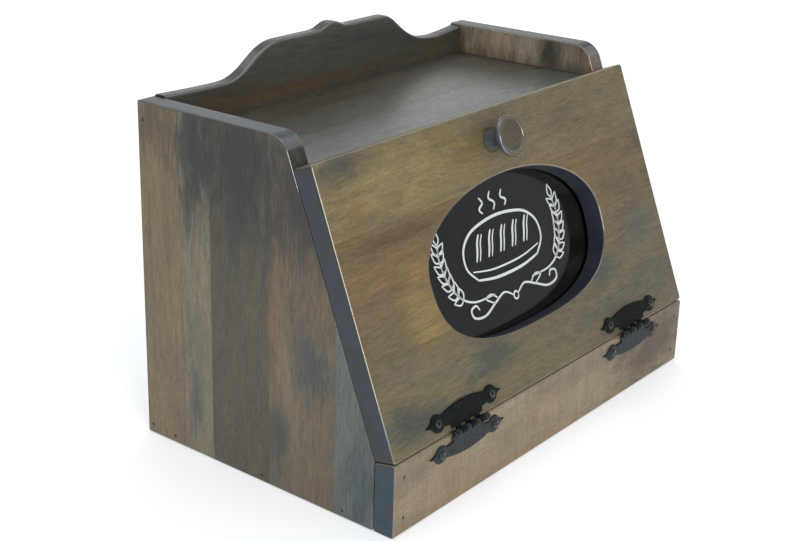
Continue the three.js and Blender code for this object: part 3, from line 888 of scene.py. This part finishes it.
# ---- Case boards ----
side_outline = rounded(
    [
        (0, 0),
        (SIDE_DEPTH, 0),
        (SIDE_DEPTH, SIDE_HEIGHT),
        ((SIDE_HEIGHT - KNEE) * math.tan(SLANT), SIDE_HEIGHT),
        (0, KNEE),
    ],
    [CORNER_ROUND, BACK_CORNER, BACK_CORNER, SIDE_CORNER, CORNER_ROUND],
    18,
)


def brad_hole():
    return turned([(1.45, -2), (1.45, 0.75), (1.1, 1.2)], 24)


def aimed(direction, point):
    """A frame at the point whose c axis looks in the direction."""
    turn_there = Vector((0, 0, 1)).rotation_difference(Vector(direction))
    return Matrix.Translation(point) @ turn_there.to_matrix().to_4x4()


for side, outer, inward in (("left", -HALF_WIDTH, 1), ("right", HALF_WIDTH, -1)):
    panel = make_piece(
        f"side_board_{side}",
        [slab(side_outline, BOARD, EDGE_ROUND)],
        CASE @ Matrix.Translation((min(outer, outer + inward * BOARD), 0, 0)) @ ALONG_X,
        "case",
        left_wood if side == "left" else right_wood,
        [f"side_panel_{side}"],
    )
    inner = outer + inward * BOARD
    groove_low, groove_high = sorted((inner - inward * DADO, inner + inward))
    low = (groove_low, -BOARD, SHELF_TOP - BOARD - GAP)
    high = (groove_high, SIDE_DEPTH - THIN_BOARD, SHELF_TOP + GAP)
    cutters = [box(low, high)]
    heights = [(SIDE_DEPTH - THIN_BOARD / 2, z) for z in BACK_BRADS]
    heights += [(SIDE_DEPTH - from_back, THIN_BOARD / 2) for from_back in FLOOR_BRADS]
    for y, z in heights:
        cutters.append(moved(brad_hole(), aimed((inward, 0, 0), (outer, y, z))))
    cut_piece(panel, cutters, CASE)
    even_normals(panel)

rail_outline = rounded(
    [
        (-GAP, 0),
        (-GAP, KNEE_BACK.z - SEAM_HALF),
        (-GAP - BOARD, KNEE_BACK.z + BOARD * math.tan(SLANT / 2) - SEAM_HALF),
        (-GAP - BOARD, 0),
    ],
    [RAIL_BACK_CORNER, RAIL_BACK_CORNER, CORNER_ROUND, CORNER_ROUND],
    8,
)
rail = make_piece(
    "rail_board",
    [slab(rail_outline, 2 * HALF_WIDTH, EDGE_ROUND)],
    CASE @ Matrix.Translation((-HALF_WIDTH, 0, 0)) @ ALONG_X,
    "case",
    rail_wood,
    ["front_rail"],
)
rail_holes = [
    moved(brad_hole(), aimed((0, 1, 0), (x, -GAP - BOARD, z)))
    for x in (-HALF_WIDTH + BRAD_FROM_SIDE, HALF_WIDTH - BRAD_FROM_SIDE)
    for z in RAIL_BRADS
]
cut_piece(rail, rail_holes, CASE)
even_normals(rail)


def bezier(points, steps):
    a, b, c, d = (Vector(point) for point in points)
    curve = []
    for step in range(1, steps + 1):
        t = step / steps
        curve.append(a * (1 - t) ** 3 + 3 * b * t * (1 - t) ** 2 + 3 * c * t**2 * (1 - t) + d * t**3)
    return curve


# Shoulder, its pull, foot, its pull and height, width of the cove, height at the end: from the peak outwards.
CREST_LEFT = (68.0, 33.0, 138.0, 33.0, 288.1, 24.0, 291.0)
CREST_RIGHT = (71.0, 20.0, 151.0, 52.0, 283.3, 12.0, 289.2)
CREST_HEIGHT, CREST_PEAK, CREST_OFFSET = 313.8, 319.1, 6.5
PEAK_HALF, PEAK_PULL = 24.0, 10.0
CREST_END = HALF_WIDTH - BOARD + CUT_REACH
SHORT_CURVE, LONG_CURVE = 14, 28


def crest_half(half, reach):
    """Half of the crest as points from the peak outwards, in widths from the peak."""
    shoulder, shoulder_pull, foot, foot_pull, foot_height, cove, end_height = half
    peak = [
        (0, CREST_PEAK),
        (PEAK_PULL, CREST_PEAK),
        (PEAK_HALF / 2, CREST_HEIGHT),
        (PEAK_HALF, CREST_HEIGHT),
    ]
    slope = [
        (shoulder, CREST_HEIGHT),
        (shoulder + shoulder_pull, CREST_HEIGHT),
        (foot - foot_pull, foot_height),
        (foot, foot_height),
    ]
    first = Vector((foot, foot_height))
    bend = Vector((foot + cove, foot_height))
    last = Vector((reach, end_height))
    end_curve = [first, first.lerp(bend, 2 / 3), last.lerp(bend, 2 / 3), last]
    points = [Vector((0, CREST_PEAK)), *bezier(peak, SHORT_CURVE), Vector((shoulder, CREST_HEIGHT))]
    return points + bezier(slope, LONG_CURVE) + bezier(end_curve, SHORT_CURVE)


def crest_outline():
    """The back board's front view, drawn past its ends and foot, which are cut square afterwards."""
    right = [Vector((CREST_OFFSET + x, z)) for x, z in crest_half(CREST_RIGHT, CREST_END - CREST_OFFSET)]
    left = [Vector((CREST_OFFSET - x, z)) for x, z in crest_half(CREST_LEFT, CREST_END + CREST_OFFSET)]
    return [Vector((-CREST_END, -CUT_REACH)), Vector((CREST_END, -CUT_REACH)), *right[::-1], *left[1:]]


back = make_piece(
    "back_board",
    [slab(crest_outline(), THIN_BOARD, CREST_ROUND, 6)],
    CASE @ Matrix.Translation((0, SIDE_DEPTH, 0)) @ TO_FRONT,
    "case",
    back_wood,
    ["back_panel"],
)
end = HALF_WIDTH - BOARD - GAP
cut_piece(back, [box((-end, 0, 0), (end, 400, 400))], CASE, "INTERSECT")
even_normals(back)


# ---- Door ----
def window_loop(count=176):
    loop = []
    for index in range(count):
        angle = -2 * math.pi * index / count
        upper = math.sin(angle) >= 0
        power = 2 / WINDOW["top" if upper else "bottom"]
        height = WINDOW["rise" if upper else "drop"]
        across = math.copysign(abs(math.cos(angle)) ** power, math.cos(angle)) * WINDOW["half"]
        up = math.copysign(abs(math.sin(angle)) ** power, math.sin(angle)) * height
        loop.append(Vector((across, WINDOW["centre"] + up)))
    return loop


door_outline = rounded(
    [
        (-HALF_WIDTH, SEAM_HALF),
        (HALF_WIDTH, SEAM_HALF),
        (HALF_WIDTH, DOOR_LENGTH),
        (-HALF_WIDTH, DOOR_LENGTH),
    ],
    CORNER_ROUND,
    8,
)
door_vertices, door_faces = slab(door_outline, BOARD, DOOR_ROUND, 6, [window_loop()])
lean = math.tan(SLANT / 2)
door_vertices = [(a, b - c * lean if b < 8 else b, c) for a, b, c in door_vertices]
door = make_piece(
    "door_board",
    [(door_vertices, door_faces)],
    DOOR @ TO_FRONT,
    "door",
    door_wood,
    ["door_panel"],
)
knob_hole = turned([(2.4, -2), (2.4, BOARD - 2.9), (4.5, BOARD), (4.5, BOARD + 2)], 40)
cut_piece(door, [moved(knob_hole, aimed((0, 1, 0), (KNOB_X, -BOARD, KNOB_UP)))], DOOR)
even_normals(door)

knob_profile = [
    (9.6, 0.0), (10.3, 0.25), (10.5, 0.9), (10.1, 2.6), (9.75, 5.4), (9.6, 8.6), (10.3, 11.8), (12.9, 14.3),
    (15.9, 16.4), (17.1, 18.1), (17.3, 19.7), (16.8, 21.1), (15.9, 21.85), (14.9, 21.75), (13.9, 21.0),
    (11.5, 20.55), (7.0, 20.4), (0.4, 20.35),
]
make_piece(
    "knob_turning",
    [turned([tuple(point) for point in smooth_curve(knob_profile, 5)], 96)],
    DOOR @ Matrix.Translation((KNOB_X, -BOARD - GAP / 2, KNOB_UP)) @ TO_FRONT,
    "door",
    knob_wood,
    ["door_knob"],
)


# ---- Hinges ----
LEAF_START, LEAF_MIDDLE = (19.6, 4.4), (0.0, 21.7)
# Half of the leaf: the end of each curve, with the point that pulls it before its end; the first is straight.
LEAF_CURVES = (
    [(19.6, 6.2)],
    [(19.6, 7.6), (21.4, 7.9)],
    [(25.0, 8.2), (28.4, 8.6)],
    [(30.6, 6.2), (34.6, 6.1)],
    [(39.2, 6.4), (41.4, 10.4)],
    [(44.6, 12.4), (49.0, 13.2)],
    [(44.6, 14.2), (41.6, 16.6)],
    [(39.0, 20.6), (34.8, 20.6)],
    [(31.0, 20.4), (28.4, 18.0)],
    [(14.5, 21.6), LEAF_MIDDLE],
)
LEAF_STEP = 0.9
LEAF_PITCH = 0.85
LEAF_RIM, LEAF_EDGE, LEAF_CROWN = 1.1, 0.75, 1.0
RIB_PITCH, RIB_HEIGHT, RIB_END = 3.75, 0.62, 29.5
DENT_SCALE = 0.42
RING_RADIUS, RING_WIDTH, RING_HEIGHT = 4.5, 0.8, 0.3
KNUCKLE_RADIUS, KNUCKLE_HALF, KNUCKLE_GAP = 2.2, 0.72, 0.5
LEAF_LIFT, SCREW_LIFT = 0.05, 1.7
FIRST_SLOT_TURN, SLOT_TURN = 0.4, 0.7
# Radius, and height past the end of the barrel
PIN_HEAD = ((0.2, 1.1), (1.3, 1.0), (1.9, 0.7), (2.15, 0.3), (2.15, 0.0), (1.2, 0.0))


def leaf_outline():
    """The butterfly leaf, half drawn and mirrored: a along the barrel, b away from it."""
    points = []
    start = Vector(LEAF_START)
    for curve in LEAF_CURVES:
        stop = Vector(curve[-1])
        steps = max(2, int((stop - start).length / LEAF_STEP))
        for step in range(steps):
            t = step / steps
            if len(curve) == 1:
                points.append(start.lerp(stop, t))
            else:
                points.append(start * (1 - t) ** 2 + 2 * Vector(curve[0]) * t * (1 - t) + stop * t**2)
        start = stop
    mirrored = [Vector((-point.x, point.y)) for point in reversed(points)]
    return [*points, Vector(LEAF_MIDDLE), *mirrored]


def edge_distance(point, loop):
    best = 1e9
    for index, start in enumerate(loop):
        along = start - loop[index - 1]
        length = along.length_squared
        t = min(1.0, max(0.0, (point - loop[index - 1]).dot(along) / length)) if length else 0.0
        best = min(best, (point - loop[index - 1] - along * t).length)
    return best


def leaf_height(point, distance, ribbed):
    """Height of the leaf's face: a rounded rim, ribs or hammer marks, and a ring around each screw."""
    rim = min(1.0, distance / LEAF_RIM)
    height = LEAF_EDGE + LEAF_CROWN * math.sqrt(1 - (1 - rim) ** 2)
    if ribbed:
        body = min(1.0, max(0.0, (RIB_END - abs(point.x)) / 2.5))
        wave = 0.5 + 0.5 * math.cos(2 * math.pi * point.x / RIB_PITCH + 0.5 * math.sin(point.y * 0.5))
        height += RIB_HEIGHT * body * rim * (wave**1.4 - 0.35)
    dents = noise.noise(Vector((point.x * DENT_SCALE, point.y * DENT_SCALE, 3.0 if ribbed else 9.0)))
    height += rim * (0.2 if ribbed else 0.34) * dents
    screw = (point - Vector((math.copysign(LEAF_SCREWS[1], point.x), LEAF_SCREW_UP))).length
    ring = math.exp(-(((screw - RING_RADIUS) / RING_WIDTH) ** 2))
    return height + RING_HEIGHT * ring * rim


def leaf_plate(ribbed):
    """The leaf as one closed solid: a modelled face, a wall and a flat back, c off the board."""
    loop = leaf_outline()
    count = len(loop)
    points = [point.copy() for point in loop]
    for amount in (0.28, 0.62, LEAF_RIM):
        points += [point for point in inset(loop, amount) if edge_distance(point, loop) > amount * 0.8]
    for row in range(int(18 / LEAF_PITCH)):
        for column in range(int(98 / LEAF_PITCH)):
            along = -48.6 + column * LEAF_PITCH + (row % 2) * LEAF_PITCH / 2
            points.append(Vector((along, 4.6 + row * LEAF_PITCH)))
    edges = [(index, (index + 1) % count) for index in range(count)]
    inside = [
        point for point in points[count:] if inside_loop(point, loop) and edge_distance(point, loop) > 0.2
    ]
    found = delaunay_2d_cdt(loop + inside, edges, [], 1, 1e-5)
    vertices = []
    for spot in map(Vector, found[0]):
        vertices.append((spot.x, spot.y, leaf_height(spot, edge_distance(spot, loop), ribbed)))
    faces = [list(face) for face in found[2]]
    rim = {origin: index for index, origins in enumerate(found[3]) for origin in origins if origin < count}
    start = len(vertices)
    vertices += [(point.x, point.y, 0.0) for point in loop]
    for index in range(count):
        after = (index + 1) % count
        faces.append([start + index, start + after, rim[after], rim[index]])
    faces.append(list(range(start, start + count))[::-1])
    return vertices, faces


def knuckle(low, high):
    """A strip rolled round the pin, from the leaf's inner edge."""
    path = [Vector((6.2, 0.95)), Vector((4.0, 0.98)), Vector((2.4, 1.12))]
    for step in range(26):
        angle = math.radians(-100 - 285 * step / 25)
        away, up = KNUCKLE_RADIUS * math.cos(angle), KNUCKLE_RADIUS * math.sin(angle)
        path.append(Vector((away, HINGE_LIFT + up)))
    left, right = two_sides(path, [KNUCKLE_HALF] * len(path))
    outline = left + right[::-1]
    area = sum(a.x * b.y - b.x * a.y for a, b in zip(outline, outline[1:] + outline[:1]))
    if area < 0:
        outline.reverse()
    part = slab(outline, high - low, 0.16, 2)
    return moved(part, Matrix.Translation((low, 0, 0)) @ ALONG_X)


def screw_head():
    """A domed head, c off the leaf; its cross recess is cut into it afterwards."""
    profile = [(1.3, -6.0), (1.3, -0.1), (3.35, 0.0), (3.5, 0.2)]
    for step in range(1, 9):
        angle = math.radians(10 + 78 * step / 8)
        profile.append((3.55 * math.cos(angle), 0.2 + 1.95 * math.sin(angle)))
    return turned(profile, 48)


def cross_cutter():
    arm = rounded([(-2.0, -0.42), (2.0, -0.42), (2.0, 0.42), (-2.0, 0.42)], 0.3, 3)
    low = [(point.x * 0.45, point.y * 0.45, 0.95) for point in arm]
    high = [(point.x, point.y, 2.9) for point in arm]
    count = len(arm)
    faces = [*wall_faces(count), list(range(count))[::-1], list(range(count, 2 * count))]
    upright = Matrix.Rotation(math.pi / 2, 4, "Z")
    return [(low + high, faces), moved((low + high, faces), upright)]


leaf_parts = {True: leaf_plate(True), False: leaf_plate(False)}
turn_screw = Matrix.Rotation(FIRST_SLOT_TURN, 4, "Z")
hinge_axis = Vector(frame["joints"][0]["pos_m"]) / MM
FLIP = Matrix.Rotation(math.pi, 4, "Y")
for side, centre in HINGE_X.items():
    barrel = Matrix.Translation((centre, hinge_axis.y, hinge_axis.z))
    for leaf, first in (("door", 1), ("rail", 0)):
        lean_back = Matrix.Rotation(-SLANT, 4, "X") if leaf == "door" else FLIP
        # Leaf frame: a along the barrel, b away from it, c off the board; the barrel's axis is HINGE_LIFT up.
        place = barrel @ lean_back @ TO_FRONT @ Matrix.Translation((0, 0, -HINGE_LIFT))
        pitch = BARREL_LENGTH / KNUCKLES
        parts = [moved(leaf_parts[leaf == "door"], Matrix.Translation((0, 0, LEAF_LIFT)))]
        for index in range(first, KNUCKLES, 2):
            low = -BARREL_LENGTH / 2 + index * pitch
            parts.append(knuckle(low + KNUCKLE_GAP, low + pitch - KNUCKLE_GAP))
        body = "door" if leaf == "door" else "case"
        make_piece(
            f"hinge_plate_{side}_{leaf}",
            parts,
            place,
            body,
            ribbed_iron if leaf == "door" else smooth_iron_painted_light,
            [f"hinge_{side}_{leaf}_leaf"],
            LEAF_SHARP_ANGLE,
        )
        for index, along in enumerate(LEAF_SCREWS):
            screw_place = place @ Matrix.Translation((along, LEAF_SCREW_UP, SCREW_LIFT)) @ turn_screw
            screw = make_piece(
                f"hinge_screw_{side}_{leaf}_{index + 1}",
                [screw_head()],
                screw_place,
                body,
                screw_iron,
                [f"hinge_{side}_{leaf}_screw_{index + 1}"],
            )
            cut_piece(screw, cross_cutter(), screw_place)
            turn_screw = turn_screw @ Matrix.Rotation(SLOT_TURN, 4, "Z")
    head = BARREL_LENGTH / 2 + GAP
    pin_profile = [(radius, -head - height) for radius, height in PIN_HEAD]
    pin_profile += [(radius, -height) for radius, height in reversed(pin_profile)]
    make_piece(
        f"hinge_rod_{side}", [turned(pin_profile, 32)], barrel @ Matrix.Rotation(math.pi / 2, 4, "Y"),
        "case", screw_iron, [f"hinge_{side}_pin"],
    )


# ---- Ornament on the pane: a generic loaf between two ears of wheat, over a flourish ----
RIBBON_THICKNESS = 0.14
RIBBON_TAPER = 0.35


def ribbon(points, width):
    """A flat strip with round ends along a curve, narrower towards its ends."""
    count = len(points)
    shares = [abs(2 * index / (count - 1) - 1) for index in range(count)]
    left, right = two_sides(points, [width / 2 * (1 - RIBBON_TAPER * share**2) for share in shares])
    caps = []
    for index, behind in ((count - 1, count - 2), (0, 1)):
        along = (points[index] - points[behind]).normalized()
        centre_point = points[index]
        half = (left[index] - centre_point).length
        base = math.atan2(along.y, along.x)
        angles = [base - math.pi / 2 + math.pi * step / 5 for step in range(1, 5)]
        caps.append([centre_point + Vector((math.cos(a), math.sin(a))) * half for a in angles])
    outline = right + caps[0] + left[::-1] + caps[1]
    bottom = [(point.x, point.y, 0.0) for point in outline]
    top = [(point.x, point.y, RIBBON_THICKNESS) for point in outline]
    total = len(outline)
    faces = wall_faces(total)
    last_cap = list(range(count, count + 4))
    left_order = list(range(count + 4, 2 * count + 4))
    first_cap = list(range(2 * count + 4, total))
    for offset, flip in ((total, False), (0, True)):
        quads = []
        for index in range(count - 1):
            far = count - 1 - index
            quads.append([index, index + 1, left_order[far - 1], left_order[far]])
        quads.append([count - 1, *last_cap, left_order[0]])
        quads.append([left_order[-1], *first_cap, 0])
        for quad in quads:
            face = [item + offset for item in quad]
            faces.append(face[::-1] if flip else face)
    return bottom + top, faces


def arc(centre_x, centre_y, radius, start, stop, steps):
    angles = [math.radians(start + (stop - start) * step / steps) for step in range(steps + 1)]
    return [Vector((centre_x + radius * math.cos(a), centre_y + radius * math.sin(a))) for a in angles]


def kernel(base, direction, size):
    """One grain of an ear: a pointed oval drawn in line."""
    angle = math.radians(direction)
    along = Vector((math.cos(angle), math.sin(angle)))
    over = Vector((-along.y, along.x))
    tip = base + along * size
    one = smooth_curve([base, base + along * size * 0.4 + over * size * 0.24, tip], 8)
    two = smooth_curve([base, base + along * size * 0.4 - over * size * 0.24, tip], 8)
    return [one, two]


def wheat_ear(root, bend, mirror):
    """A bent stalk with paired grains and one grain at its tip."""
    lines = []
    stalk = smooth_curve([Vector(point) for point in root], 10)
    lines.append((stalk, 1.9))
    count = len(stalk)
    for index in range(7):
        spot = stalk[int(count * (0.36 + 0.085 * index))]
        ahead = stalk[min(int(count * (0.36 + 0.085 * index)) + 2, count - 1)]
        heading = math.degrees(math.atan2(ahead.y - spot.y, ahead.x - spot.x))
        for lean_angle in (38, -38):
            lines += [(line, 1.5) for line in kernel(spot, heading + lean_angle, 12.5)]
    lines += [(line, 1.5) for line in kernel(stalk[-1], bend, 12.5)]
    if mirror:
        return [([Vector((-point.x, point.y)) for point in line], width) for line, width in lines]
    return lines


def stroke(points, width):
    return smooth_curve(points, 8), width


def ornament_lines():
    """Each line of the drawing, as (points, width), about the middle of the window."""
    half_crust = [(43, -14), (54, -2), (53, 13), (41, 24), (23, 29)]
    lines = [
        stroke([*((-x, y) for x, y in half_crust), (0, 31), *half_crust[::-1]], 2.5),
        stroke([(-43, -14), (-22, -17.5), (0, -18.4), (22, -17.5), (43, -14)], 2.5),
        stroke([(-47, -6), (-24, -10), (0, -11), (24, -10), (47, -6)], 1.6),
    ]
    for offset in (-34, -17, 0, 17, 34):
        slash = [(offset - 5, 1), (offset - 1.5, 8), (offset + 1, 15), (offset + 5, 21)]
        lines += [stroke(slash, 2.3), stroke([(x + 4.4, y - 0.6) for x, y in slash], 1.5)]
    stalk = [(28, -30), (54, -29), (71, -21), (81, -6), (85, 12), (83, 26)]
    lines += wheat_ear(stalk, 98, False) + wheat_ear(stalk, 98, True)
    scroll = [(4, -37), (15, -32), (30, -37), (46, -43), (60, -41), (62, -34), (55, -32), (52, -36)]
    leaf = [(24, -34.5), (32, -29), (40, -31), (30, -37)]
    steam = [(16, 36), (19, 40), (13, 44), (16, 49)]
    for flip in (1, -1):
        for curve, width in ((scroll, 2.1), (leaf, 1.6), (steam, 2.0)):
            lines.append(stroke([(x * flip, y) for x, y in curve], width))
    lines.append((arc(0, -38.5, 3.2, 0, 352, 20), 1.8))
    lines.append(stroke([(0, 36), (3, 41), (-3, 46), (0, 51)], 2.0))
    middle = WINDOW["centre"] - 3
    return [([Vector((point[0], point[1] + middle)) for point in line], width) for line, width in lines]


strips = [ribbon(line, width) for line, width in ornament_lines()]
make_piece(
    "window_ornament",
    strips,
    DOOR @ TO_FRONT @ Matrix.Translation((0, 0, -0.26)),
    "door",
    paint,
)

# ---- CAD nodes that stay, with their materials ----
kept = {
    "bottom_board": shelf_wood,
    "top_shelf": shelf_wood,
    "window_pane": glass,
    "knob_screw": bright_steel,
}
for name in frame["nodes"]:
    if "brad" in name:
        kept[name] = brad_iron
    elif name.startswith("pane_clip_screw"):
        kept[name] = bright_steel
    elif name.startswith("pane_clip"):
        kept[name] = plastic
for name, material in kept.items():
    node = frame["nodes"][name]
    node.data.materials.clear()
    node.data.materials.append(material)

# ---- Stage: floor, light, camera ----
floor_mesh = bpy.data.meshes.new("floor")
floor_mesh.from_pydata([(-7, -7, 0), (7, -7, 0), (7, 7, 0), (-7, 7, 0)], [], [[0, 1, 2, 3]])
floor = bpy.data.objects.new("floor", floor_mesh)
bpy.context.scene.collection.objects.link(floor)
floor.location.z = -0.0005
floor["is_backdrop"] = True
floor_shader = Shader("floor_paint", Roughness=0.9, Emission_Strength=0.4)
floor_shader.set("Base Color", (0.88, 0.885, 0.89, 1.0))
floor_shader.set("Emission Color", (0.97, 0.985, 1.0, 1.0))
floor_mesh.materials.append(floor_shader.material)

world = bpy.data.worlds.new("studio")
world.use_nodes = True
world.node_tree.nodes["Background"].inputs["Color"].default_value = (0.94, 0.97, 1.0, 1.0)
world.node_tree.nodes["Background"].inputs["Strength"].default_value = 0.6
bpy.context.scene.world = world


def softbox(name, location, target, size, radiance, colour=(1, 1, 1)):
    """A rectangular lamp that looks this bright, in the same units as the world."""
    light = bpy.data.lights.new(name, "AREA")
    light.shape = "RECTANGLE"
    light.size, light.size_y = size
    light.energy = radiance * math.pi * size[0] * size[1]
    light.color = colour
    lamp = bpy.data.objects.new(name, light)
    lamp.location = location
    lamp.rotation_euler = (Vector(target) - Vector(location)).to_track_quat("-Z", "Y").to_euler()
    bpy.context.scene.collection.objects.link(lamp)


softbox("light_top", (0.1, 0.3, 2.0), (0, 0, 0.1), (2.4, 2.0), 0.55)
softbox("light_back", (2.2, 1.75, 0.95), (0, 0, 0.26), (2.2, 1.1), 1.25)
softbox("light_strip", (-1.0, -1.35, 0.65), (0, 0, 0.2), (0.55, 0.9), 6.5, (1.0, 0.985, 0.96))

camera_data = bpy.data.cameras.new("camera")
camera_data.sensor_width = 36.0
camera_data.lens = 66.04
camera_data.shift_x = 0.0883
camera_data.shift_y = -0.0222
camera = bpy.data.objects.new("camera", camera_data)
AZIMUTH, ELEVATION, ROLL = (math.radians(value) for value in (-49.42, 20.47, 0.56))
away = Vector(
    (math.sin(AZIMUTH) * math.cos(ELEVATION), -math.cos(AZIMUTH) * math.cos(ELEVATION), math.sin(ELEVATION))
)
level = Vector((math.cos(AZIMUTH), math.sin(AZIMUTH), 0))
upward = away.cross(level)
right_axis = level * math.cos(ROLL) + upward * math.sin(ROLL)
up_axis = upward * math.cos(ROLL) - level * math.sin(ROLL)
turn = Matrix((right_axis, up_axis, away)).transposed().to_4x4()
camera.matrix_world = Matrix.Translation(Vector((-959.4, -589.1 + CASE_Y, 575.8)) * MM) @ turn
bpy.context.scene.collection.objects.link(camera)
bpy.context.scene.camera = camera
bpy.context.scene.view_settings.view_transform = "Standard"

low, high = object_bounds()
